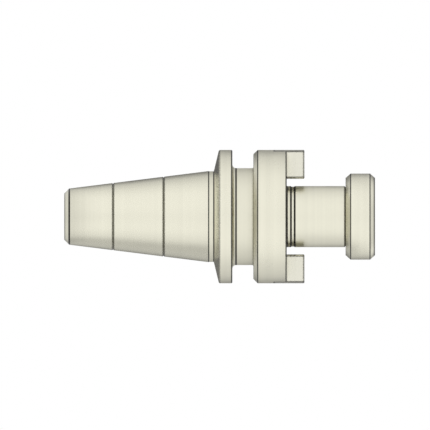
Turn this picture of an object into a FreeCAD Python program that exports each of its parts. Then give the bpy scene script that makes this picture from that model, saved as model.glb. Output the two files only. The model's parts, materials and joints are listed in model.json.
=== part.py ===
import FreeCAD, Part
import math
import os

# Shell mill arbor with a steep taper shank, in millimetres.
# +Z runs along the spindle axis, from the small end of the taper towards the cutter.
# The origin is the centre of the gauge plane, where the taper meets its land.

# Taper shank
gauge_diameter = 32.8
taper_on_diameter = 0.25
taper_length = 52.0
small_end_chamfer = 1.8
ring_groove_heights = (17.6, 35.8)
ring_groove_depth = 0.3

# Land between the taper and the clamp flange
land_diameter = 32.6
land_length = 1.85

# Clamp flange, with its cone side towards the taper
flange_diameter = 48.0
flange_length = 6.7
flange_cone_length = 1.85

# Grip groove between the flange and the hub
groove_diameter = 34.9
groove_length = 7.55
groove_flange_root_radius = 1.3
groove_hub_root_radius = 0.4

# Hub, whose front face seats the cutter
hub_diameter = 48.0
hub_length = 12.0
hub_rear_chamfer = 1.55

# Pilot that centres the cutter
pilot_diameter = 22.0
pilot_length = 21.2
pilot_root_radius = 0.25
pilot_end_chamfer = 0.4
pilot_relief_height = 1.5
pilot_relief_length = 1.4
pilot_relief_depth = 0.2

# Drive keys, let into slots that open at the rim of the hub
key_count = 2
key_width = 10.0
key_inner_radius = 13.6
key_projection = 6.4
key_slot_depth = 4.6
key_slot_corner_radius = 0.5
key_inner_chamfer = 0.6
key_side_clearance = 0.02
key_end_clearance = 0.2

# Cap screws that hold the keys
key_screw_diameter = 4.0
key_screw_pitch = 0.7
key_screw_length = 10.0
key_screw_tip_chamfer = 0.4
key_screw_head_diameter = 7.0
key_screw_head_height = 4.0
key_screw_head_chamfer = 0.4
key_screw_head_sink = 1.4
key_screw_head_clearance = 0.3
key_screw_shank_clearance = 0.25
key_screw_socket_across = 3.0
key_screw_socket_depth = 2.0
key_screw_hole_spare = 0.5

# Lock screw that clamps the cutter
lock_screw_diameter = 10.0
lock_screw_pitch = 1.5
lock_screw_length = 26.0
lock_screw_tip_chamfer = 1.0
lock_screw_undercut_length = 2.0
lock_screw_head_diameter = 31.0
lock_screw_head_height = 10.6
lock_screw_head_chamfer_length = 1.8
lock_screw_head_chamfer_rise = 1.6
lock_screw_socket_across = 8.0
lock_screw_socket_depth = 6.0
lock_screw_hole_spare = 1.5

# Threaded hole for the spindle's draw bolt
draw_bolt_diameter = 12.0
draw_bolt_pitch = 1.75
draw_bolt_thread_depth = 24.0

# Screw threads, whose turns are left as plain cylinders, and the holes they run in
thread_gap = 0.03
thread_core_in_pitches = 0.5413
drill_runout_in_pitches = 1.0
drill_point_angle = 118.0
hole_mouth_chamfer = 0.6

# Hexagonal sockets
socket_sides = 6
socket_mouth_chamfer = 0.3

# Broken sharp edges
edge_break = 0.3

# Heights along the spindle axis, worked out from the lengths above
small_end_z = -taper_length
flange_z = land_length
groove_z = flange_z + flange_length
hub_z = groove_z + groove_length
cutter_face_z = hub_z + hub_length
pilot_end_z = cutter_face_z + pilot_length
lock_screw_front_z = pilot_end_z + lock_screw_head_height

# Heights and radii that place the keys and their screws
key_floor_z = cutter_face_z - key_slot_depth
key_front_z = cutter_face_z + key_projection
key_screw_front_z = key_front_z - key_screw_head_sink
key_screw_seat_z = key_screw_front_z - key_screw_head_height
key_screw_tip_z = key_screw_seat_z - key_screw_length
key_screw_radius = (key_inner_radius + hub_diameter / 2) / 2

spindle_axis = FreeCAD.Vector(0, 0, 1)
origin = FreeCAD.Vector(0, 0, 0)


def taper_radius(z):
    """Radius of the taper at a height measured from the gauge plane."""
    return gauge_diameter / 2 + z * taper_on_diameter / 2


def drill_radius(diameter, pitch):
    """Radius of the drill that an internal thread is cut from."""
    return diameter / 2 - thread_core_in_pitches * pitch


def closed_wire(corners):
    """Closed outline of (point, ease) corners: an ease above 0 rounds the corner, one below 0 cuts it off."""
    edges = []
    first = None
    last = None
    for i, (here, ease) in enumerate(corners):
        back = (corners[i - 1][0] - here).normalize()
        onward = (corners[(i + 1) % len(corners)][0] - here).normalize()
        half_angle = back.getAngle(onward) / 2
        setback = ease / math.tan(half_angle) if ease > 0 else -ease
        arrive = here + back * setback
        leave = here + onward * setback
        if first is None:
            first = arrive
        else:
            edges.append(Part.LineSegment(last, arrive).toShape())
        if ease > 0:
            middle = here + (back + onward).normalize() * (ease / math.sin(half_angle) - ease)
            edges.append(Part.Arc(arrive, middle, leave).toShape())
        elif ease < 0:
            edges.append(Part.LineSegment(arrive, leave).toShape())
        last = leave
    edges.append(Part.LineSegment(last, first).toShape())
    return Part.Wire(edges)


def turned(corners):
    """Solid turned about Z from (radius, height, ease) corners."""
    outline = closed_wire([(FreeCAD.Vector(radius, 0, z), ease) for radius, z, ease in corners])
    return Part.Face(outline).revolve(origin, spindle_axis, 360)


def milled(corners, low_z, high_z):
    """Upright prism from (x, y, ease) corners, between two heights."""
    outline = closed_wire([(FreeCAD.Vector(x, y, low_z), ease) for x, y, ease in corners])
    return Part.Face(outline).extrude(spindle_axis * (high_z - low_z))


def hex_socket(across, depth, x, front_z):
    """Cutter for a hexagonal socket with a drilled floor and a chamfered mouth, two flats facing along Y."""
    step = 2 * math.pi / socket_sides
    corner_radius = across / 2 / math.cos(step / 2)
    corners = [
        (x + corner_radius * math.cos(step * i), corner_radius * math.sin(step * i), 0)
        for i in range(socket_sides)
    ]
    floor_z = front_z - depth
    point_height = across / 2 / math.tan(math.radians(drill_point_angle / 2))
    point = Part.makeCone(0, across / 2, point_height, FreeCAD.Vector(x, 0, floor_z - point_height))
    mouth_radius = corner_radius + socket_mouth_chamfer
    mouth = Part.makeCone(0, mouth_radius, mouth_radius, FreeCAD.Vector(x, 0, front_z - mouth_radius))
    return milled(corners, floor_z, front_z).fuse([point, mouth])


def tapped_hole(diameter, pitch, thread_depth):
    """Cutter for a threaded hole that opens upwards at Z = 0: mouth, thread, drilled end and drill point."""
    bore = diameter / 2
    drill = drill_radius(diameter, pitch)
    drill_depth = thread_depth + drill_runout_in_pitches * pitch
    point_depth = drill_depth + drill / math.tan(math.radians(drill_point_angle / 2))
    return turned([
        (0, 0, 0),
        (bore + hole_mouth_chamfer, 0, 0),
        (bore, -hole_mouth_chamfer, 0),
        (bore, -thread_depth, 0),
        (drill, -thread_depth, 0),
        (drill, -drill_depth, 0),
        (0, -point_depth, 0),
    ])


def moved(shape, x, z):
    return shape.translated(FreeCAD.Vector(x, 0, z))


def around_hub(shape, index):
    """Copy of something made at +X, turned to its place round the hub."""
    return shape.rotated(origin, spindle_axis, 360 * index / key_count)


def key_blank(end_clearance, side_clearance, inner_ease, low_z, high_z):
    """Block at +X that runs out past the rim of the hub, for a key or for its slot."""
    inner = key_inner_radius - end_clearance
    outer = hub_diameter
    half_width = key_width / 2 + side_clearance
    corners = [
        (inner, -half_width, inner_ease),
        (outer, -half_width, 0),
        (outer, half_width, 0),
        (inner, half_width, inner_ease),
    ]
    return milled(corners, low_z, high_z)


def key_slot():
    return key_blank(key_end_clearance, key_side_clearance, key_slot_corner_radius, key_floor_z, key_front_z)


def ring_groove(height):
    """The three corners of a vee groove in the taper, at a height above the small end."""
    z = small_end_z + height
    low_z = z - ring_groove_depth
    high_z = z + ring_groove_depth
    return [
        (taper_radius(low_z), low_z, 0),
        (taper_radius(z) - ring_groove_depth, z, 0),
        (taper_radius(high_z), high_z, 0),
    ]


def arbor_blank():
    """The turned body before its slots and holes are cut."""
    chamfer_top_z = small_end_z + small_end_chamfer
    relief_z = cutter_face_z + pilot_relief_height
    relief_top_z = relief_z + pilot_relief_length
    flange = flange_diameter / 2
    groove = groove_diameter / 2
    hub = hub_diameter / 2
    pilot = pilot_diameter / 2
    shank = [
        (0, small_end_z, 0),
        (taper_radius(chamfer_top_z) - small_end_chamfer, small_end_z, 0),
        (taper_radius(chamfer_top_z), chamfer_top_z, 0),
    ]
    for height in ring_groove_heights:
        shank += ring_groove(height)
    shank += [
        (gauge_diameter / 2, 0, 0),
        (land_diameter / 2, 0, 0),
        (land_diameter / 2, flange_z, 0),
    ]
    head = [
        (flange, flange_z + flange_cone_length, -edge_break),
        (flange, groove_z, -edge_break),
        (groove, groove_z, groove_flange_root_radius),
        (groove, hub_z, groove_hub_root_radius),
        (hub - hub_rear_chamfer, hub_z, 0),
        (hub, hub_z + hub_rear_chamfer, 0),
        (hub, cutter_face_z, -edge_break),
    ]
    spigot = [
        (pilot, cutter_face_z, pilot_root_radius),
        (pilot, relief_z, 0),
        (pilot - pilot_relief_depth, relief_z + pilot_relief_depth, 0),
        (pilot - pilot_relief_depth, relief_top_z - pilot_relief_depth, 0),
        (pilot, relief_top_z, 0),
        (pilot, pilot_end_z, -pilot_end_chamfer),
        (0, pilot_end_z, 0),
    ]
    return turned(shank + head + spigot)


def arbor_body():
    """Taper shank, land, clamp flange, grip groove, hub and pilot in one piece."""
    lock_screw_hole = tapped_hole(
        lock_screw_diameter, lock_screw_pitch, lock_screw_length + lock_screw_hole_spare
    )
    draw_bolt_hole = tapped_hole(draw_bolt_diameter, draw_bolt_pitch, draw_bolt_thread_depth)
    upside_down = draw_bolt_hole.rotated(origin, FreeCAD.Vector(1, 0, 0), 180)
    key_screw_hole = tapped_hole(
        key_screw_diameter, key_screw_pitch, key_floor_z - key_screw_tip_z + key_screw_hole_spare
    )
    cuts = [moved(lock_screw_hole, 0, pilot_end_z), moved(upside_down, 0, small_end_z)]
    for i in range(key_count):
        cuts.append(around_hub(key_slot(), i))
        cuts.append(around_hub(moved(key_screw_hole, key_screw_radius, key_floor_z), i))
    return arbor_blank().cut(cuts)


def drive_key():
    """Square key at +X, its outer end flush with the hub, with a stepped hole for its screw."""
    block = key_blank(0, 0, -key_inner_chamfer, key_floor_z, key_front_z)
    rim = Part.makeCylinder(hub_diameter / 2, key_front_z - key_floor_z, FreeCAD.Vector(0, 0, key_floor_z))
    key = block.common(rim)
    front_edges = [
        edge for edge in key.Edges
        if min(vertex.Z for vertex in edge.Vertexes) > key_front_z - edge_break
    ]
    key = key.makeChamfer(edge_break, front_edges)
    shank_hole = key_screw_diameter / 2 + key_screw_shank_clearance
    head_hole = key_screw_head_diameter / 2 + key_screw_head_clearance
    stepped_hole = turned([
        (0, key_floor_z, 0),
        (shank_hole, key_floor_z, 0),
        (shank_hole, key_screw_seat_z, 0),
        (head_hole, key_screw_seat_z, 0),
        (head_hole, key_front_z - edge_break, 0),
        (head_hole + edge_break, key_front_z, 0),
        (0, key_front_z, 0),
    ])
    return key.cut(moved(stepped_hole, key_screw_radius, 0))


def key_screw():
    """Socket head cap screw in the key at +X."""
    shank = key_screw_diameter / 2 - thread_gap
    head = key_screw_head_diameter / 2
    screw = turned([
        (0, key_screw_tip_z, 0),
        (shank, key_screw_tip_z, -key_screw_tip_chamfer),
        (shank, key_screw_seat_z, 0),
        (head, key_screw_seat_z, 0),
        (head, key_screw_front_z, -key_screw_head_chamfer),
        (0, key_screw_front_z, 0),
    ])
    socket = hex_socket(key_screw_socket_across, key_screw_socket_depth, key_screw_radius, key_screw_front_z)
    return moved(screw, key_screw_radius, 0).cut(socket)


def lock_screw():
    """Screw with a broad chamfered head that clamps the cutter on the pilot."""
    shank = lock_screw_diameter / 2 - thread_gap
    core = drill_radius(lock_screw_diameter, lock_screw_pitch)
    head = lock_screw_head_diameter / 2
    head_face = head - lock_screw_head_chamfer_rise
    tip_z = pilot_end_z - lock_screw_length
    undercut_z = pilot_end_z - lock_screw_undercut_length
    screw = turned([
        (0, tip_z, 0),
        (shank, tip_z, -lock_screw_tip_chamfer),
        (shank, undercut_z, 0),
        (core, undercut_z, 0),
        (core, pilot_end_z, 0),
        (head_face, pilot_end_z, 0),
        (head, pilot_end_z + lock_screw_head_chamfer_length, 0),
        (head, lock_screw_front_z - lock_screw_head_chamfer_length, 0),
        (head_face, lock_screw_front_z, 0),
        (0, lock_screw_front_z, 0),
    ])
    return screw.cut(hex_socket(lock_screw_socket_across, lock_screw_socket_depth, 0, lock_screw_front_z))


pieces = {"arbor_body": arbor_body(), "lock_screw": lock_screw()}
for i in range(key_count):
    pieces[f"drive_key_{i + 1}"] = around_hub(drive_key(), i)
    pieces[f"key_screw_{i + 1}"] = around_hub(key_screw(), i)

os.makedirs("parts", exist_ok=True)
for name, shape in pieces.items():
    shape.exportStep(f"parts/{name}.step")
    print(name, "valid" if shape.isValid() else "INVALID", len(shape.Solids), "solid", round(shape.Volume, 1))
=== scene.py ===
import bpy
import bmesh
import json
import math
from mathutils import Matrix, Vector


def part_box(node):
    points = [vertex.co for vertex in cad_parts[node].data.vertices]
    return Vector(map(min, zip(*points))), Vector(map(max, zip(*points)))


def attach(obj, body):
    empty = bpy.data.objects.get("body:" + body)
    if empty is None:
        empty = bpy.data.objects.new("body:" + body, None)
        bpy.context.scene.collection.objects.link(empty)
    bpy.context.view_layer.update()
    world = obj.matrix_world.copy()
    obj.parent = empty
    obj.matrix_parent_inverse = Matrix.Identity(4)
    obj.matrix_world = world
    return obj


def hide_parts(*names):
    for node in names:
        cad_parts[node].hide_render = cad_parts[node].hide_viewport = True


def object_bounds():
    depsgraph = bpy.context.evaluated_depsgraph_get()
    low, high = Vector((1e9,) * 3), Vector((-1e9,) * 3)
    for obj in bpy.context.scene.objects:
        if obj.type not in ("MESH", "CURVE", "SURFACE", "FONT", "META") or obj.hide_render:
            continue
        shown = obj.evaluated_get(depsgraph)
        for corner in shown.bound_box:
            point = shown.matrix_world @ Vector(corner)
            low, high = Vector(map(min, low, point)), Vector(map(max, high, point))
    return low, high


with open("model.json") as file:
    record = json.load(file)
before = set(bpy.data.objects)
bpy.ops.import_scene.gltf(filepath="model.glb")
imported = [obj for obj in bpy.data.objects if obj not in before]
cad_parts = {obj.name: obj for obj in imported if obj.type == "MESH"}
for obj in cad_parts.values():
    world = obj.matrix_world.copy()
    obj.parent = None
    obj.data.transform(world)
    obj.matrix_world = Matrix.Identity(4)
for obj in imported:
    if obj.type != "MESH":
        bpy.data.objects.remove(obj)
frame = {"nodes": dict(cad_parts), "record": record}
cad_low, cad_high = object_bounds()

MM = 0.001

# Places read from the solids and the record, in metres
mounts = {mount["name"]: mount for mount in frame["record"]["mounts"]}
body_low, body_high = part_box("arbor_body")
screw_low, screw_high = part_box("lock_screw")
small_end_z = body_low.z
pilot_end_z = body_high.z
cutter_face_z = mounts["cutter_seat"]["pos_m"][2]
draw_bolt_diameter = 2 * mounts["draw_bolt_thread"]["dims"]["r_mm"] * MM
key_screw_x = sum(corner.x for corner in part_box("key_screw_1")) / 2

# Framing: the spindle axis lies across the picture, with the small end on the left
picture_px = 430
mm_per_px = 0.36
small_end_px = 64.2
axis_px = 216.6
camera_distance = 1.0

# Edges of the arbor body that its finishes and lines follow, up the spindle axis from the gauge plane
small_end_chamfer_z = small_end_z + 1.8 * MM
gauge_z = 0.0
flange_z = 1.85 * MM
flange_rim_z = flange_z + 1.85 * MM
groove_z = 8.55 * MM
groove_root_z = groove_z + 1.3 * MM
hub_z = 16.1 * MM
hub_chamfer_z = hub_z + 1.55 * MM
relief_low_z = cutter_face_z + 1.5 * MM
relief_high_z = relief_low_z + 1.4 * MM

# Lock screw
lock_screw_diameter = 10.0 * MM
lock_screw_pitch = 1.5 * MM
lock_screw_tip_chamfer = 1.0 * MM
lock_screw_undercut = 2.0 * MM
lock_screw_undercut_ease = 0.5 * MM
lock_screw_chamfer_length = 1.8 * MM
lock_screw_chamfer_rise = 1.6 * MM
lock_screw_edge = 0.05 * MM
lock_screw_hole_depth = 27.5 * MM

# Hexagonal socket in its head
socket_sides = 6
socket_across = 8.0 * MM
socket_depth = 6.0 * MM
socket_mouth = 0.3 * MM
drill_point_angle = math.radians(118)

# Draw bolt thread in the small end
draw_bolt_pitch = 1.75 * MM
draw_bolt_depth = 24.0 * MM

# Metric thread form, in pitches, and how far each side of it stands back from the basic form
crest_half_width = 1 / 16
external_depth = 0.6134
internal_depth = 0.5413
flank_angle = math.radians(30)
external_gap = 0.05 * MM
internal_gap = 0.04 * MM
hole_mouth = 0.6 * MM
thread_backing = 0.25 * MM

# Turned meshes
segments = 192
ease_steps = 3
weld = 0.001 * MM
crease = math.radians(28)

# Brightness of the studio as metal sees it, by degrees from the lens towards +X
ring_stops = (
    (-180, 0.20), (-168, 0.20), (-152, 0.35), (-138, 0.60), (-122, 0.82), (-90, 0.95),
    (-60, 1.06), (-25, 1.09), (0, 1.06), (30, 1.12), (60, 1.14), (90, 1.04),
    (120, 0.84), (138, 0.58), (152, 0.33), (168, 0.20), (180, 0.20),
)

# How the panels above and on the floor change that brightness, by the same degrees
panel_stops = (
    (-180, 0.80), (-155, 0.65), (-120, 0.92), (-80, 1.05), (-40, 1.03), (0, 1.00),
    (35, 0.98), (65, 0.86), (92, 0.58), (118, 0.75), (145, 1.05), (180, 0.80),
)

# Brightness of the top and the ground by the sine of the rise, and the sines over which it takes over
rise_stops = ((-1.0, 0.50), (-0.5, 0.80), (0.0, 0.95), (0.5, 1.02), (0.8, 0.95), (1.0, 0.80))
steep_range = (0.25, 0.6)

# Sines of the rise over which the panels above come in, and go out again
panels_in = (0.12, 0.4)
panels_out = (0.75, 0.97)

# Floor, in metres: where it fades into the background, and where metal sees it darkened by a painted contact
# shadow of the part
floor_half_size = 4.0
floor_colour = (0.86, 0.86, 0.85, 1)
floor_fade = (0.10, 0.45)
contact_shadow_range = (0.01, 0.06)
contact_shadow_tone = 0.75
white = (1, 1, 1, 1)

# Colours in linear light
plated_steel = (0.80, 0.782, 0.655)
ground_steel = (0.76, 0.745, 0.645)
black_oxide = (0.07, 0.071, 0.076)

# Tool marks and rounded edges of the steel, and the painted shade in its corners and on its edges
mark_depth = 0.003 * MM
crevice_width = 0.7 * MM
crevice_samples = 12
edge_radius = 0.1 * MM
edge_samples = 6
edge_shade_samples = 8
anisotropy = 0.5

# Weight of z beside y in the noise of grinding marks, and of the radius beside z in that of turning marks
grinding_slant = 0.83
turning_slant = 0.61

# Noises of the steel: how many to the metre, and their detail
noise_roughness = 0.6
fine_noise = (1 / (0.25 * MM), 3.0)
band_noise = (1 / (2.5 * MM), 2.0)
smudge_noise = (85.0, 4.0)
speck_noise = (1400.0, 2.0)

# What they become: two values of the noise, and the tone or change of roughness at each
fine_tone = (0.3, 0.7, 0.985, 1.01)
fine_roughness = (0.3, 0.7, -0.02, 0.02)
band_tone = (0.3, 0.7, 0.975, 1.015)
smudge_tone = (0.35, 0.65, 0.98, 1.01)
smudge_roughness = (0.35, 0.65, -0.03, 0.03)
speck_roughness = (0.4, 0.7, -0.01, 0.02)

# Painted shade in corners, from ambient occlusion: two shares of open space round a point, and the tone at
# each
corner_shade_tone = (0.1, 0.8, 0.32, 1.0)

# Painted shade on broken edges: its width, two degrees of bend with the tone at each, and the darkest tone
thin_edge_shade = (0.5 * MM, (0.985, 0.9992, 0.2, 1.0), 0.24)
heavy_edge_shade = (0.75 * MM, (0.975, 0.9985, 0.08, 1.0), 0.13)

# Painted shade lines along edges: half the width of the dark core, how far the line reaches, and its tone
grey_line = (0.15 * MM, 0.29 * MM, 0.22)
dark_line = (0.23 * MM, 0.40 * MM, 0.07)
seat_line = (0.14 * MM, 0.22 * MM, 0.07)

# Finishes of the arbor body: where each starts, its roughness and the depth of its tool marks
seat_margin = 0.05 * MM
arbor_stations = (
    (small_end_z, 0.26, 0.35),
    (gauge_z, 0.38, 1.0),
    (flange_z, 0.24, 0.6),
    (flange_rim_z, 0.30, 1.0),
    (groove_z, 0.40, 1.0),
    (hub_z, 0.30, 1.0),
    (cutter_face_z - seat_margin, 0.33, 0.35),
)

# Roughness and depth of the marks on the other pieces
lock_screw_turning = (0.29, 1.0)
key_grinding = (0.28, 0.3)
key_screw_turning = (0.42, 0.5)

# How much rougher the holes are, and how much less painted shade the edges of a thread get
hole_roughness = 0.15
thread_edge_shade_drop = -0.7


def lay(tree, kind, inputs=(), **settings):
    """Adds a shader node, sets its settings and joins or fills its inputs."""
    made = tree.nodes.new(kind)
    for name, value in settings.items():
        setattr(made, name, value)
    for key, value in dict(inputs).items():
        if isinstance(value, bpy.types.NodeSocket):
            tree.links.new(value, made.inputs[key])
        else:
            made.inputs[key].default_value = value
    return made


def calc(tree, operation, *values):
    return lay(tree, "ShaderNodeMath", enumerate(values), operation=operation).outputs[0]


def fold(tree, operation, *values):
    """The values joined one after another by the same operation."""
    result = values[0]
    for value in values[1:]:
        result = calc(tree, operation, result, value)
    return result


def vector_calc(tree, operation, first, second):
    return lay(tree, "ShaderNodeVectorMath", {0: first, 1: second}, operation=operation)


def remap(tree, value, low, high, to_low, to_high, kind="LINEAR"):
    inputs = {0: value, 1: low, 2: high, 3: to_low, 4: to_high}
    return lay(tree, "ShaderNodeMapRange", inputs, interpolation_type=kind).outputs[0]


def fade(tree, value, span, to_low=0.0, to_high=1.0):
    """Soft change from one value to another over a span."""
    return remap(tree, value, *span, to_low, to_high, "SMOOTHSTEP")


def mixed(tree, share, first, second):
    return lay(tree, "ShaderNodeMix", {0: share, 2: first, 3: second}, data_type="FLOAT").outputs[0]


def noise(tree, place, scale, detail):
    """Noise at a point, or along a line where place is a single value."""
    key, dimensions = ("W", "1D") if isinstance(place, bpy.types.NodeSocketFloat) else ("Vector", "3D")
    inputs = {key: place, "Scale": scale, "Detail": detail, "Roughness": noise_roughness}
    return lay(tree, "ShaderNodeTexNoise", inputs, noise_dimensions=dimensions).outputs[0]


def ramp(tree, place, stops, interpolation):
    """A grey value that follows (place, value) stops from the lowest place up."""
    node = lay(tree, "ShaderNodeValToRGB", {0: place})
    node.color_ramp.interpolation = interpolation
    elements = node.color_ramp.elements
    elements.remove(elements[1])
    for i, (start, value) in enumerate(stops):
        element = elements[0] if i == 0 else elements.new(start)
        element.position = start
        element.color = (value, value, value, 1)
    return node.outputs[0]


def new_material(name):
    material = bpy.data.materials.new(name)
    material.use_nodes = True
    tree = material.node_tree
    tree.nodes.clear()
    return material, tree


def painted_edge_and_corner_shade(tree, edge_shade_share, edge_shade):
    """Painted shade in the corners and on the broken edges."""
    width, bend_tone, darkest = edge_shade
    normal = lay(tree, "ShaderNodeNewGeometry").outputs["Normal"]
    # Edges whose normal bends away from the rounded normal are darkened: painted shade on broken edges
    rounded = lay(tree, "ShaderNodeBevel", {"Radius": width}, samples=edge_shade_samples).outputs[0]
    bend = vector_calc(tree, "DOT_PRODUCT", normal, rounded).outputs["Value"]
    change = calc(tree, "SUBTRACT", remap(tree, bend, *bend_tone), 1.0)
    edge = calc(tree, "MULTIPLY_ADD", change, edge_shade_share, 1.0)
    # Ambient occlusion darkens corners, grooves and hollows: painted shade
    around = lay(tree, "ShaderNodeAmbientOcclusion", {"Distance": crevice_width}, samples=crevice_samples)
    corner = remap(tree, around.outputs["AO"], *corner_shade_tone)
    return calc(tree, "MAXIMUM", calc(tree, "MULTIPLY", corner, edge), darkest)


def steel(name, colour, finish, axis_x=0.0, straight=False, edge_shade=thin_edge_shade):
    """Steel with tool marks round an upright axis at axis_x, or with straight grinding marks along X.
    From the height and the distance from the axis, the finish gives the roughness, the depth of the marks,
    a painted shade tone, and how much painted shade the edges get."""
    material, tree = new_material(name)
    place = lay(tree, "ShaderNodeTexCoord").outputs["Object"]
    place = vector_calc(tree, "ADD", place, (-axis_x, 0, 0)).outputs[0]
    _, y, z = lay(tree, "ShaderNodeSeparateXYZ", {0: place}).outputs
    level = vector_calc(tree, "MULTIPLY", place, (1, 1, 0)).outputs[0]
    radius = lay(tree, "ShaderNodeVectorMath", {0: level}, operation="LENGTH").outputs["Value"]
    if straight:
        across = calc(tree, "MULTIPLY_ADD", z, grinding_slant, y)
    else:
        across = calc(tree, "MULTIPLY_ADD", radius, turning_slant, z)
    fine = noise(tree, across, *fine_noise)
    band = noise(tree, across, *band_noise)
    smudge = noise(tree, place, *smudge_noise)
    speck = noise(tree, place, *speck_noise)

    rough, marks, shade, edge_shade_share = finish(tree, z, radius)
    # The tone carries painted shade in corners, on edges and along lines, besides tone that differs at
    # random
    tone = fold(
        tree,
        "MULTIPLY",
        painted_edge_and_corner_shade(tree, edge_shade_share, edge_shade),
        remap(tree, band, *band_tone),
        remap(tree, fine, *fine_tone),
        remap(tree, smudge, *smudge_tone),
        shade,
    )
    roughness = fold(
        tree,
        "ADD",
        rough,
        remap(tree, smudge, *smudge_roughness),
        remap(tree, fine, *fine_roughness),
        remap(tree, speck, *speck_roughness),
    )
    marked = lay(tree, "ShaderNodeBump", {
        "Strength": 1.0,
        "Distance": mark_depth,
        "Height": calc(tree, "MULTIPLY", fine, marks),
        "Normal": lay(tree, "ShaderNodeBevel", {"Radius": edge_radius}, samples=edge_samples).outputs[0],
    })
    shader = lay(tree, "ShaderNodeBsdfPrincipled", {
        "Base Color": vector_calc(tree, "MULTIPLY", tone, colour).outputs[0],
        "Metallic": 1.0,
        "Roughness": roughness,
        "Normal": marked.outputs[0],
    })
    if not straight and axis_x == 0.0:
        tangent = lay(tree, "ShaderNodeTangent", direction_type="RADIAL", axis="Z").outputs[0]
        shader.inputs["Anisotropic"].default_value = anisotropy
        tree.links.new(tangent, shader.inputs["Tangent"])
    lay(tree, "ShaderNodeOutputMaterial", {"Surface": shader.outputs[0]})
    return material


def lines(tree, z, places, line):
    """A painted shade tone that darkens in a thin line at each height."""
    core, reach, tone = line
    gaps = [calc(tree, "ABSOLUTE", calc(tree, "SUBTRACT", z, place)) for place in places]
    return fade(tree, fold(tree, "MINIMUM", *gaps), (core, reach), tone)


def arbor_finish_and_shade_lines(tree, z, radius):
    """Finishes by station, rougher holes with less painted edge shade, and painted shade lines where one
    surface ends.
    """
    length = pilot_end_z - small_end_z
    up = remap(tree, z, small_end_z, pilot_end_z, 0.0, 1.0)
    starts, roughnesses, depths = zip(*arbor_stations)
    places = [(start - small_end_z) / length for start in starts]
    rough = ramp(tree, up, zip(places, roughnesses), "CONSTANT")
    marks = ramp(tree, up, zip(places, depths), "CONSTANT")
    rim_line_z = groove_z - grey_line[1]
    seat_reach = seat_line[1]
    # Painted shade lines at the small-end chamfer, gauge line, flange, groove, hub chamfer, reliefs and seat
    drawn = fold(
        tree,
        "MINIMUM",
        lines(tree, z, (gauge_z, flange_z, rim_line_z, hub_chamfer_z), grey_line),
        lines(tree, z, (small_end_chamfer_z, groove_root_z, relief_low_z, relief_high_z), dark_line),
        lines(tree, z, (cutter_face_z - seat_reach, cutter_face_z + seat_reach), seat_line),
    )
    in_hole = calc(tree, "LESS_THAN", radius, draw_bolt_diameter / 2 + hole_mouth)
    shade = calc(tree, "MAXIMUM", drawn, in_hole)
    edge_shade_share = calc(tree, "MULTIPLY_ADD", in_hole, thread_edge_shade_drop, 1.0)
    return calc(tree, "MULTIPLY_ADD", in_hole, hole_roughness, rough), marks, shade, edge_shade_share


def screw_finish_and_shade_lines(tree, z, radius):
    """Turned all over, with painted shade lines along the head's chamfers and less painted edge shade on the
    thread.
    """
    front_z = screw_high.z
    chamfer = lock_screw_chamfer_length
    places = (pilot_end_z + chamfer, front_z - chamfer, front_z - grey_line[1])
    in_socket = calc(tree, "LESS_THAN", radius, screw_high.x / 2)
    on_shank = calc(tree, "LESS_THAN", z, pilot_end_z)
    # Painted shade lines along the head's chamfers
    shade = calc(tree, "MAXIMUM", lines(tree, z, places, grey_line), in_socket)
    edge_shade_share = calc(tree, "MULTIPLY_ADD", on_shank, thread_edge_shade_drop, 1.0)
    rough, marks = lock_screw_turning
    return rough, marks, shade, edge_shade_share


def even_finish(roughness, marks):
    """The same finish all over a piece."""
    return lambda tree, z, radius: (roughness, marks, 1.0, 1.0)


def ring(radius, z):
    """A level row of a turned mesh."""
    return lambda angle: (radius, z)


def eased(corners, ease):
    """Level rows through (radius, height) corners, each corner rounded off over a short length."""
    rows = []
    for i, corner in enumerate(corners):
        here = Vector(corner)
        if i in (0, len(corners) - 1):
            rows.append(ring(*here))
            continue
        back = (Vector(corners[i - 1]) - here).normalized() * ease
        onward = (Vector(corners[i + 1]) - here).normalized() * ease
        for step in range(ease_steps + 1):
            t = step / ease_steps
            rows.append(ring(*(here + back * (1 - t) ** 2 + onward * t ** 2)))
    return rows


def thread_rows(diameter, pitch, gap, depth, zero_z, low_z, high_z, trim):
    """Rows of a right-hand metric thread from high_z down to low_z, each climbing one pitch a turn."""
    root = crest_half_width + depth / pitch * math.tan(flank_angle)

    def radius_at(z, angle):
        turns = (z - zero_z) / pitch - angle / (2 * math.pi)
        from_crest = abs(turns - round(turns))
        fall = max(from_crest - crest_half_width, 0) * pitch / math.tan(flank_angle)
        return trim(diameter / 2 + gap - min(fall, depth), z)

    def climbing(start):
        def row(angle):
            z = min(max(start + pitch * angle / (2 * math.pi), low_z), high_z)
            return radius_at(z, angle), z
        return row

    highest = math.ceil((high_z - zero_z) / pitch) + 1
    lowest = math.floor((low_z - zero_z) / pitch) - 2
    return [
        climbing(zero_z + (n + place) * pitch)
        for n in range(highest, lowest, -1)
        for place in (root, crest_half_width, -crest_half_width, -root)
    ]


def turned(name, rows, body, material):
    """Mesh round the spindle axis through rows that give a radius and a height at each angle."""
    work = bmesh.new()
    angles = [2 * math.pi * i / segments for i in range(segments + 1)]
    grid = []
    for row in rows:
        places = [(angle, *row(angle)) for angle in angles]
        grid.append([work.verts.new((r * math.cos(a), r * math.sin(a), z)) for a, r, z in places])
    for upper, lower in zip(grid, grid[1:]):
        for i in range(segments):
            work.faces.new((upper[i], upper[i + 1], lower[i + 1], lower[i]))
    bmesh.ops.remove_doubles(work, verts=work.verts, dist=weld)
    bmesh.ops.recalc_face_normals(work, faces=work.faces)
    mesh = bpy.data.meshes.new(name)
    work.to_mesh(mesh)
    work.free()
    mesh.shade_smooth()
    mesh.set_sharp_from_angle(angle=crease)
    mesh.materials.append(material)
    piece = bpy.data.objects.new(name, mesh)
    bpy.context.scene.collection.objects.link(piece)
    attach(piece, body)
    return piece


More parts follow.
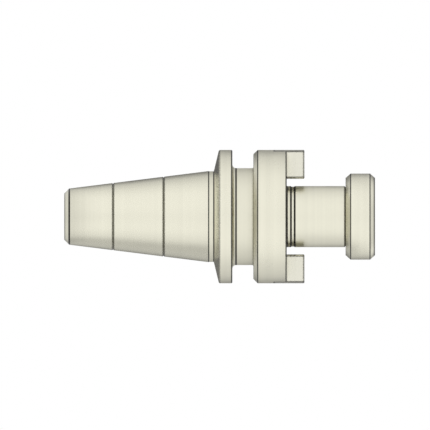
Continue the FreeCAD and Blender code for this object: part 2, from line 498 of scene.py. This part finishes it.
def hex_socket_rows(front_z):
    """Rows from the drill point in the floor of the socket, up its six walls, to its chamfered mouth."""
    flat = socket_across / 2
    step = 2 * math.pi / socket_sides
    mouth_radius = flat / math.cos(step / 2) + socket_mouth
    floor_z = front_z - socket_depth
    point_z = floor_z - flat / math.tan(drill_point_angle / 2)

    def wall(angle):
        return flat / math.cos(angle % step - step / 2)

    def wall_foot(angle):
        return wall(angle), floor_z

    def wall_top(angle):
        return wall(angle), front_z - mouth_radius + wall(angle)

    return [ring(0, point_z), ring(flat, floor_z), wall_foot, wall_top, ring(mouth_radius, front_z)]


def lock_screw():
    """The lock screw with its socket, eased head edges, undercut and M10 thread."""
    front_z = screw_high.z
    tip_z = screw_low.z
    head = screw_high.x
    head_face = head - lock_screw_chamfer_rise
    crest = lock_screw_diameter / 2 - external_gap
    depth = external_depth * lock_screw_pitch
    core = crest - depth
    tip = crest - lock_screw_tip_chamfer
    thread_z = pilot_end_z - lock_screw_undercut
    socket = hex_socket_rows(front_z)
    head_rows = eased([
        socket[-1](0),
        (head_face, front_z),
        (head, front_z - lock_screw_chamfer_length),
        (head, pilot_end_z + lock_screw_chamfer_length),
        (head_face, pilot_end_z),
        (core + lock_screw_undercut_ease, pilot_end_z),
    ], lock_screw_edge)
    neck_rows = [ring(core, pilot_end_z - lock_screw_undercut_ease), ring(core, thread_z)]

    def trim(radius, z):
        return min(radius, tip + z - tip_z)

    thread = thread_rows(
        lock_screw_diameter, lock_screw_pitch, -external_gap, depth, pilot_end_z, tip_z, thread_z, trim)
    rows = socket[:-1] + head_rows + neck_rows + thread + [ring(0, tip_z)]
    piece = turned("lock_screw_threaded", rows, "lock_screw", screw_steel)
    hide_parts("lock_screw")


def hole_thread(name, diameter, pitch, mouth_z, depth, upwards):
    """The turns of an internal thread, standing in from the plain wall of the solid's hole."""
    outer = diameter / 2 + thread_backing
    inwards = -1 if upwards else 1
    low_z, high_z = sorted((mouth_z + inwards * hole_mouth, mouth_z + inwards * depth))

    def trim(radius, z):
        return max(radius, diameter / 2 + hole_mouth - abs(mouth_z - z))

    turn_depth = internal_depth * pitch + internal_gap
    thread = thread_rows(diameter, pitch, internal_gap, turn_depth, mouth_z, low_z, high_z, trim)
    rows = [ring(outer, high_z)] + thread + [ring(outer, low_z), ring(outer, high_z)]
    turned(name, rows, "arbor", arbor_steel)


def dress(node, material):
    mesh = frame["nodes"][node].data
    mesh.materials.clear()
    mesh.materials.append(material)


def by_degrees(tree, around, stops):
    """A value that follows (degrees, value) stops round the part."""
    return ramp(tree, around, [(0.5 + degrees / 360, value) for degrees, value in stops], "EASE")


def studio_light(tree, direction, on_floor=False):
    """How bright the studio is in a direction: a white ring with a dark flag behind the part, a greyer top,
    and panels, which show above the ring and on the floor."""
    x, y, z = lay(tree, "ShaderNodeSeparateXYZ", {0: direction}).outputs
    turn = calc(tree, "ARCTAN2", x, calc(tree, "MULTIPLY", y, -1.0))
    around = remap(tree, turn, -math.pi, math.pi, 0.0, 1.0)
    rise = remap(tree, z, -1.0, 1.0, 0.0, 1.0)
    steep = ramp(tree, rise, [(0.5 + sine / 2, value) for sine, value in rise_stops], "EASE")
    steepness = fade(tree, calc(tree, "ABSOLUTE", z), steep_range)
    light = mixed(tree, steepness, by_degrees(tree, around, ring_stops), steep)
    shown = 1.0
    if not on_floor:
        shown = calc(tree, "MULTIPLY", fade(tree, z, panels_in), fade(tree, z, panels_out, 1.0, 0.0))
    panels = mixed(tree, shown, 1.0, by_degrees(tree, around, panel_stops))
    return calc(tree, "MULTIPLY", light, panels)


def studio_world():
    """White background for the camera and through glass, and the studio for light and reflections."""
    world = bpy.data.worlds.new("studio")
    bpy.context.scene.world = world
    world.use_nodes = True
    tree = world.node_tree
    tree.nodes.clear()
    path = lay(tree, "ShaderNodeLightPath")
    seen = calc(tree, "MAXIMUM", path.outputs["Is Camera Ray"], path.outputs["Is Transmission Ray"])
    direction = lay(tree, "ShaderNodeTexCoord").outputs["Generated"]
    room = lay(tree, "ShaderNodeBackground", {"Color": white, "Strength": studio_light(tree, direction)})
    background = lay(tree, "ShaderNodeBackground", {"Color": white, "Strength": 1.0})
    mix = lay(tree, "ShaderNodeMixShader", {0: seen, 1: room.outputs[0], 2: background.outputs[0]})
    lay(tree, "ShaderNodeOutputWorld", {"Surface": mix.outputs[0]})


def floor():
    """Pale floor that keeps the part's shadow and fades into the background. Metal sees it glow with the
    studio's light, a painted reflection, darkened near the part by a painted contact shadow.
    """
    mesh = bpy.data.meshes.new("floor")
    size = floor_half_size
    corners = [(-size, -size, 0), (size, -size, 0), (size, size, 0), (-size, size, 0)]
    mesh.from_pydata(corners, [], [(0, 1, 2, 3)])
    plane = bpy.data.objects.new("floor", mesh)
    plane.location.z = small_end_z
    bpy.context.scene.collection.objects.link(plane)
    material, tree = new_material("floor")
    place = lay(tree, "ShaderNodeTexCoord").outputs["Object"]
    reach = lay(tree, "ShaderNodeVectorMath", {0: place}, operation="LENGTH").outputs["Value"]
    path = lay(tree, "ShaderNodeLightPath")
    faded = calc(tree, "MULTIPLY", fade(tree, reach, floor_fade), path.outputs["Is Camera Ray"])
    paint = lay(tree, "ShaderNodeBsdfDiffuse", {"Color": floor_colour})
    background = lay(tree, "ShaderNodeEmission", {"Color": white, "Strength": 1.0})
    seen = lay(tree, "ShaderNodeMixShader", {0: faded, 1: paint.outputs[0], 2: background.outputs[0]})
    # In reflections the floor glows with the studio's brightness, a painted reflection, darker near the part
    # as a painted contact shadow
    painted_contact_shadow = fade(tree, reach, contact_shadow_range, contact_shadow_tone)
    brightness = calc(tree, "MULTIPLY", painted_contact_shadow, studio_light(tree, place, on_floor=True))
    mirrored = lay(tree, "ShaderNodeEmission", {"Color": white, "Strength": brightness})
    in_metal = path.outputs["Is Glossy Ray"]
    mix = lay(tree, "ShaderNodeMixShader", {0: in_metal, 1: seen.outputs[0], 2: mirrored.outputs[0]})
    lay(tree, "ShaderNodeOutputMaterial", {"Surface": mix.outputs[0]})
    mesh.materials.append(material)


def softbox(name, azimuth, elevation, distance, size, radiance):
    """A large soft lamp that faces the middle of the part, hidden from reflections."""
    lamp = bpy.data.lights.new(name, "AREA")
    lamp.shape = "SQUARE"
    lamp.size = size
    lamp.energy = math.pi * size ** 2 * radiance
    holder = bpy.data.objects.new(name, lamp)
    holder.visible_glossy = False
    turn, rise = math.radians(azimuth), math.radians(elevation)
    away = Vector((math.sin(turn) * math.cos(rise), -math.cos(turn) * math.cos(rise), math.sin(rise)))
    holder.location = Vector((0, 0, (cad_low.z + cad_high.z) / 2)) + away * distance
    holder.rotation_mode = "QUATERNION"
    holder.rotation_quaternion = away.to_track_quat("Z", "Y")
    bpy.context.scene.collection.objects.link(holder)


def camera():
    """Looks along +Y at the part laid across the picture: +Z points right and +X points down."""
    data = bpy.data.cameras.new("camera")
    data.type = "ORTHO"
    data.ortho_scale = picture_px * mm_per_px * MM
    middle = picture_px / 2
    right = Vector((0, 0, 1))
    up = Vector((-1, 0, 0))
    holder = bpy.data.objects.new("camera", data)
    holder.location = (
        (middle - axis_px) * mm_per_px * MM,
        -camera_distance,
        small_end_z + (middle - small_end_px) * mm_per_px * MM,
    )
    holder.rotation_mode = "QUATERNION"
    holder.rotation_quaternion = Matrix((right, up, right.cross(up))).transposed().to_quaternion()
    bpy.context.scene.collection.objects.link(holder)
    bpy.context.scene.camera = holder


camera()
studio_world()
floor()
softbox("top_softbox", azimuth=-60, elevation=60, distance=0.9, size=0.6, radiance=1.6)

arbor_steel = steel("arbor_steel_finish", plated_steel, arbor_finish_and_shade_lines)
screw_steel = steel("screw_steel_finish", plated_steel, screw_finish_and_shade_lines)
key_steel = steel("key_steel_finish", ground_steel, even_finish(*key_grinding), straight=True, edge_shade=heavy_edge_shade)
dress("arbor_body", arbor_steel)
dress("drive_key_1", key_steel)
dress("drive_key_2", key_steel)
for node, side in (("key_screw_1", 1), ("key_screw_2", -1)):
    finish = even_finish(*key_screw_turning)
    dress(node, steel(f"{node}_finish", black_oxide, finish, axis_x=side * key_screw_x))

lock_screw()
hole_thread(
    "lock_screw_hole_thread",
    diameter=lock_screw_diameter,
    pitch=lock_screw_pitch,
    mouth_z=pilot_end_z,
    depth=lock_screw_hole_depth,
    upwards=True,
)
hole_thread(
    "draw_bolt_hole_thread",
    diameter=draw_bolt_diameter,
    pitch=draw_bolt_pitch,
    mouth_z=small_end_z,
    depth=draw_bolt_depth,
    upwards=False,
)

bpy.context.scene.view_settings.view_transform = "Standard"
